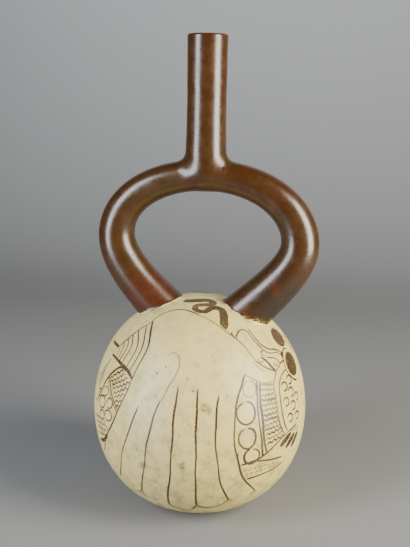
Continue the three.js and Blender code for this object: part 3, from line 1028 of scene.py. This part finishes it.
def slip_material():
    """Cream slip with painted lines, and the burnished red-brown slip above the seam."""
    material = bpy.data.materials.new("painted_slip")
    material.use_nodes = True
    net = Net(material.node_tree)
    slips = bpy.context.scene.vessel_slip
    place = net.add("ShaderNodeTexCoord").outputs["Object"]
    stains = net.add("ShaderNodeGroup", {}, node_tree=stain_group())
    net.tree.links.new(place, stains.inputs["Place"])
    cloud, blotch, grain, speck = (stains.outputs[label] for label in ("Cloud", "Blotch", "Grain", "Speck"))
    spot_tree = spot_group()

    def spot(centre, size, softness):
        node = net.add("ShaderNodeGroup", {}, node_tree=spot_tree)
        net.tree.links.new(place, node.inputs["Place"])
        node.inputs["Centre"].default_value = Vector(centre) * MM
        node.inputs["Size"].default_value, node.inputs["Softness"].default_value = size * MM, softness * MM
        return node.outputs["Mask"]

    def ramp(value, low, high):
        return net.add("ShaderNodeMapRange", {"Value": value, "From Min": low,
                                              "From Max": high}).outputs["Result"]

    x, _, z = net.add("ShaderNodeSeparateXYZ", {"Vector": place}).outputs
    ink = net.add("ShaderNodeAttribute", attribute_name="ink").outputs["Fac"]
    seam = net.add("ShaderNodeAttribute", attribute_name="seam").outputs["Fac"]
    wander = net.math("MULTIPLY_ADD", blotch, 1.1, -0.5)
    edge = net.math("ADD", seam, net.math("ADD", wander, net.math("MULTIPLY_ADD", grain, 1.2, -0.6)))
    brown_side = ramp(edge, -0.12, 0.12)

    cream = net.mix(net.math("MULTIPLY", ramp(x, -0.02, 0.055), 0.55), slips.cream, slips.warm_cream)
    cream = net.mix(net.math("MULTIPLY", cloud, 0.30), cream, slips.warm_cream)
    # Stain blotches all over, deepened towards the base as painted shade of the chamber's lower part
    dirt_and_low_shade = net.math("MULTIPLY", blotch, net.math("MULTIPLY_ADD", ramp(z, 0.10, 0.02), 0.30, 0.24))
    cream = net.mix(dirt_and_low_shade, cream, slips.stain_and_shade)
    cream = net.mix(net.math("MULTIPLY", ramp(grain, 0.55, 0.75), 0.25), cream, slips.stain_and_shade)
    cream = net.mix(net.math("MULTIPLY", speck, 0.8), cream, slips.ink)
    rubbed = 0.0
    for *centre, size in SMUDGES:
        rubbed = net.math("MAXIMUM", rubbed, spot(centre, size * 0.25, size))
    cream = net.mix(net.math("MULTIPLY", net.math("MULTIPLY", rubbed, blotch), 0.75), cream, slips.soot)
    near_seam = net.math("MULTIPLY", ramp(edge, -5.0, -0.3), ramp(blotch, 0.3, 0.9))
    cream = net.mix(net.math("MULTIPLY", near_seam, 0.65), cream, slips.stain_and_shade)

    worn = net.math("MULTIPLY_ADD", ramp(grain, 0.50, 0.66), -0.25, 1.0)
    opaque = net.math("MULTIPLY", net.math("POWER", ink, 0.5), worn)
    lines = net.mix(cloud, slips.ink, slips.ink_thin)
    painted = net.mix(opaque, cream, lines)

    brown = net.mix(cloud, slips.red_brown, slips.olive_brown)
    brown = net.mix(net.math("MULTIPLY", blotch, 0.45), brown, slips.red_brown_light)
    redder = net.math("MAXIMUM", spot((-31, -13, 129), 6, 22),
                      net.math("MULTIPLY", spot((47.7, -13, 139), 1, 6), 0.8))
    brown = net.mix(net.math("MULTIPLY", redder, 0.7), brown, slips.red_patch)
    burnt = net.math("MULTIPLY", spot((50, -8, 129), 5, 19), net.math("MULTIPLY_ADD", blotch, -0.35, 1.0))
    burnt = net.math("SUBTRACT", burnt, net.math("MULTIPLY", spot((47.7, -13, 139), 1, 6), 0.6))
    brown = net.mix(net.math("MULTIPLY", burnt, 0.88), brown, slips.soot)
    fleck = net.math("MULTIPLY", ramp(grain, 0.52, 0.60), net.math("MULTIPLY", spot((34, -15, 117), 5, 9),
                                                                    ramp(edge, 3.5, 0.2)))
    brown = net.mix(net.math("MULTIPLY", fleck, 0.85), brown, slips.warm_cream)
    brown = net.mix(net.math("MULTIPLY", ramp(edge, 0.9, 0.1), 0.5), brown, slips.soot)

    colour_out = net.mix(brown_side, painted, brown)
    pitted = 0.0
    for centre in PITS:
        pitted = net.math("MAXIMUM", pitted, spot(centre, 0.35, 0.35))
    colour_out = net.mix(net.math("MULTIPLY", pitted, 0.9), colour_out, slips.soot)

    cream_gloss = net.math("MULTIPLY_ADD", grain, 0.16, 0.33)
    cream_gloss = net.math("MULTIPLY_ADD", blotch, 0.10, cream_gloss)
    brown_gloss = net.math("MULTIPLY_ADD", grain, 0.14, net.math("MULTIPLY_ADD", blotch, 0.08, 0.20))
    roughness = net.math("ADD", net.math("MULTIPLY", cream_gloss, net.math("SUBTRACT", 1.0, brown_side)),
                         net.math("MULTIPLY", brown_gloss, brown_side))
    height = net.math("MULTIPLY_ADD", blotch, 0.5, net.math("MULTIPLY", grain, 0.35))
    height = net.math("SUBTRACT", height, net.math("MULTIPLY", pitted, 3.0))
    bump = net.add("ShaderNodeBump", {"Strength": 0.35, "Distance": 0.12 * MM, "Height": height})
    shader = net.add("ShaderNodeBsdfPrincipled", {
        "Base Color": colour_out, "Roughness": roughness, "Normal": bump.outputs["Normal"],
        "Specular IOR Level": 0.5, "Coat Weight": net.math("MULTIPLY", brown_side, 0.22),
        "Coat Roughness": 0.2})
    net.add("ShaderNodeOutputMaterial", {"Surface": shader.outputs[0]})
    return material


def clay_material():
    """The bare clay of the hollow, roughly wiped."""
    material = bpy.data.materials.new("raw_clay")
    material.use_nodes = True
    net = Net(material.node_tree)
    place = net.add("ShaderNodeTexCoord").outputs["Object"]
    grain = net.add("ShaderNodeTexNoise", {"Vector": place, "Scale": 420.0, "Detail": 4.0}).outputs["Fac"]
    slips = bpy.context.scene.vessel_slip
    bump = net.add("ShaderNodeBump", {"Strength": 0.6, "Distance": 0.3 * MM, "Height": grain})
    shader = net.add("ShaderNodeBsdfPrincipled", {
        "Base Color": net.mix(grain, slips.raw_clay, slips.red_brown), "Roughness": 0.9,
        "Normal": bump.outputs["Normal"]})
    net.add("ShaderNodeOutputMaterial", {"Surface": shader.outputs[0]})
    return material


# ---------------------------------------------------------------- the stage

def soft_light(name, azimuth, low, high, width, distance, tint, power):
    """A tall soft light that faces the vessel's middle. Azimuth 0 is -Y and grows towards +X."""
    data = bpy.data.lights.new(name, "AREA")
    data.shape, data.size, data.size_y = "RECTANGLE", width, high - low
    data.color, data.energy = tint, power
    light = bpy.data.objects.new(name, data)
    turn = math.radians(azimuth)
    light.location = (distance * math.sin(turn), -distance * math.cos(turn), (low + high) / 2)
    light.rotation_euler = (math.radians(90), 0, turn)
    bpy.context.scene.collection.objects.link(light)


class VESSEL_OT_stage(bpy.types.Operator):
    """Lay the floor and backdrop, and place the lights and the camera"""

    bl_idname = "vessel.stage"
    bl_label = "Studio"
    bl_options = {"REGISTER", "UNDO"}

    def execute(self, context):
        look = context.scene.vessel_stage
        bm = bmesh.new()
        sweep = [(0, -1.4, 0), (0, BACKDROP_START, 0)]
        sweep += [(0, BACKDROP_START + BACKDROP_RADIUS * math.sin(turn),
                   BACKDROP_RADIUS - BACKDROP_RADIUS * math.cos(turn))
                  for turn in np.linspace(0.1, math.pi / 2, 16)]
        sweep.append((0, BACKDROP_START + BACKDROP_RADIUS, BACKDROP_TOP))
        corners = [bm.verts.new(place) for place in sweep]
        edges = [bm.edges.new(pair) for pair in zip(corners, corners[1:])]
        for reach in (-3.0, 3.0):
            made = bmesh.ops.extrude_edge_only(bm, edges=edges)["geom"]
            bmesh.ops.translate(bm, verts=[item for item in made if isinstance(item, bmesh.types.BMVert)],
                                vec=(reach, 0, 0))
        for face in bm.faces:
            face.smooth = True
        bmesh.ops.recalc_face_normals(bm, faces=bm.faces)
        mesh = bpy.data.meshes.new("floor")
        bm.to_mesh(mesh)
        bm.free()
        floor = bpy.data.objects.new("floor", mesh)
        context.scene.collection.objects.link(floor)
        material = bpy.data.materials.new("floor")
        material.use_nodes = True
        net = Net(material.node_tree)
        shader = net.add("ShaderNodeBsdfPrincipled", {"Base Color": look.floor, "Roughness": 0.85})
        net.add("ShaderNodeOutputMaterial", {"Surface": shader.outputs[0]})
        mesh.materials.append(material)
        soft_light("left_light", -46, -0.02, 0.80, 0.26, 0.7, (0.93, 0.95, 1.0), look.left_power)
        soft_light("right_light", 72, -0.02, 0.80, 0.34, 0.7, (1.0, 0.96, 0.82), look.right_power)
        soft_light("backdrop_light", 0, 0.75, 1.25, 1.6, -0.45, (0.96, 0.98, 1.0), look.backdrop_power)
        world = bpy.data.worlds.new("studio")
        world.use_nodes = True
        world.node_tree.nodes["Background"].inputs["Color"].default_value = (0.5, 0.5, 0.5, 1)
        world.node_tree.nodes["Background"].inputs["Strength"].default_value = 0.08
        context.scene.world = world
        data = bpy.data.cameras.new("camera")
        data.lens = CAMERA_LENS
        camera = bpy.data.objects.new("camera", data)
        camera.location = CAMERA_PLACE
        camera.rotation_euler = (math.radians(90) - CAMERA_TILT, 0, CAMERA_TURN)
        context.scene.collection.objects.link(camera)
        context.scene.camera = camera
        return {"FINISHED"}


class VESSEL_PT_panel(bpy.types.Panel):
    """Sizes, colours and the parts to build"""

    bl_label = "Stirrup Spout Vessel"
    bl_idname = "VESSEL_PT_panel"
    bl_space_type = "VIEW_3D"
    bl_region_type = "UI"
    bl_category = "Vessel"

    def draw(self, context):
        for group in (context.scene.vessel_form, context.scene.vessel_slip, context.scene.vessel_stage):
            box = self.layout.box()
            for name in group.bl_rna.properties.keys():
                if name not in ("rna_type", "name"):
                    box.prop(group, name)
        self.layout.operator(VESSEL_OT_body.bl_idname)
        self.layout.operator(VESSEL_OT_stage.bl_idname)


GROUPS = (("vessel_form", VesselForm), ("vessel_slip", VesselSlip), ("vessel_stage", VesselStage))
CLASSES = (VESSEL_OT_body, VESSEL_OT_stage, VESSEL_PT_panel)


def register():
    for name, group in GROUPS:
        bpy.utils.register_class(group)
        setattr(bpy.types.Scene, name, PointerProperty(type=group))
    for item in CLASSES:
        bpy.utils.register_class(item)


def unregister():
    for item in reversed(CLASSES):
        bpy.utils.unregister_class(item)
    for name, group in reversed(GROUPS):
        delattr(bpy.types.Scene, name)
        bpy.utils.unregister_class(group)


def main():
    register()
    bpy.ops.vessel.stage()
    bpy.ops.vessel.body()


if __name__ == "__main__":
    main()
